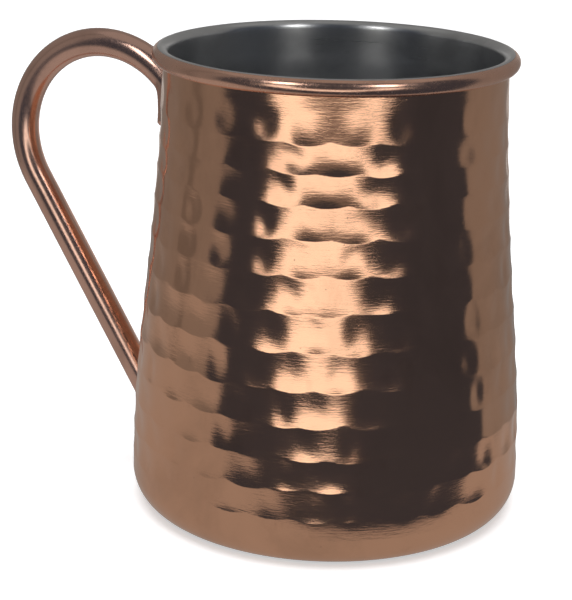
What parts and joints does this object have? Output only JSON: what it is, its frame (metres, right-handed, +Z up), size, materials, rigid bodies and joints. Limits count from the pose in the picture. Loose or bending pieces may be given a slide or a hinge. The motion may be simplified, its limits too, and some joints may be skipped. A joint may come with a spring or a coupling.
{
  "type": "hammered copper mug",
  "caption": "Tapered hammered copper drinking mug with a wired rolled rim, grey lining and a bent tube side handle.",
  "frame": {"origin": "centre of the base's resting face, on the axis of the body", "axes": "+Z up along the body's axis, the handle on -X, the mug symmetric about the XZ plane"},
  "size_m": [0.131, 0.091, 0.106],
  "materials": {
    "hammered_copper": null,
    "lining_metal": "satin grey tin or nickel lining",
    "wire_steel": "plain wire, hidden in the rim",
    "handle_copper": "polished copper tube",
    "braze_metal": "brazing metal, filed flush"
  },
  "bodies": {
    "root": {"body": "hammered_copper", "lining": "lining_metal", "rim_wire": "wire_steel", "handle": "handle_copper", "upper_braze": "braze_metal", "lower_braze": "braze_metal"}
  },
  "joints": []
}
